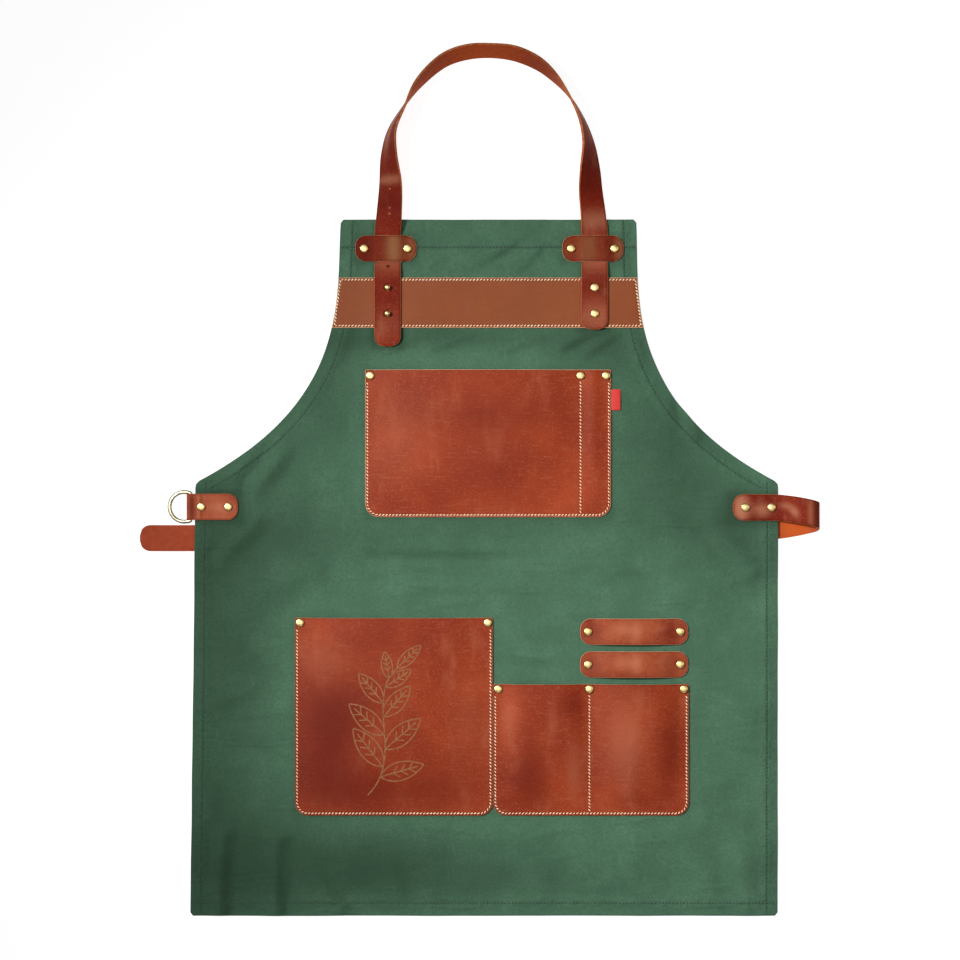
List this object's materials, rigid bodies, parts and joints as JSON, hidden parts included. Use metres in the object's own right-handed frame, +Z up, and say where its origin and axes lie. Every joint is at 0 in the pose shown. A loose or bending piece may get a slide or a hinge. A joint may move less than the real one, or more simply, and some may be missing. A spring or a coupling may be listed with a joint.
{
  "type": "gardening apron",
  "caption": "Canvas bib apron with leather pockets, tool loops, a ring, a neck strap and a waist strap, laid flat with its front up.",
  "frame": {"origin": "on the floor, under the middle of the whole apron's box", "axes": "+Z up from the floor out of the apron's front, +Y from the hem to the neck loop, +X to the right as seen from above"},
  "size_m": [0.7832, 0.9992, 0.0303],
  "materials": {
    "canvas": "waxed cotton canvas, matt",
    "pocket_leather": "oiled pull-up leather, satin",
    "strap_leather": "bridle leather, satin",
    "brass": "polished",
    "tab_cloth": "woven tape"
  },
  "bodies": {
    "root": {"canvas_body": "canvas", "bib_band": "pocket_leather", "chest_pocket": "pocket_leather", "tool_pocket": "pocket_leather", "double_pocket": "pocket_leather", "tool_loop_lower": "pocket_leather", "tool_loop_upper": "pocket_leather", "strap_keeper_left": "pocket_leather", "strap_keeper_right": "pocket_leather", "ring_tab": "pocket_leather", "neck_strap": "strap_leather", "waist_strap": "strap_leather", "d_ring": "brass", "side_tab": "tab_cloth", "strap_stud_1": "brass", "strap_stud_2": "brass", "strap_rivet_1": "brass", "strap_rivet_2": "brass", "strap_keeper_left_rivet_1": "brass", "strap_keeper_left_rivet_2": "brass", "strap_keeper_right_rivet_1": "brass", "strap_keeper_right_rivet_2": "brass", "chest_pocket_rivet_1": "brass", "chest_pocket_rivet_2": "brass", "chest_pocket_rivet_3": "brass", "tool_pocket_rivet_1": "brass", "tool_pocket_rivet_2": "brass", "double_pocket_rivet_1": "brass", "double_pocket_rivet_2": "brass", "double_pocket_rivet_3": "brass", "tool_loop_lower_rivet_1": "brass", "tool_loop_lower_rivet_2": "brass", "tool_loop_upper_rivet_1": "brass", "tool_loop_upper_rivet_2": "brass", "ring_tab_rivet_1": "brass", "ring_tab_rivet_2": "brass", "waist_rivet_1": "brass", "waist_rivet_2": "brass"}
  },
  "joints": []
}
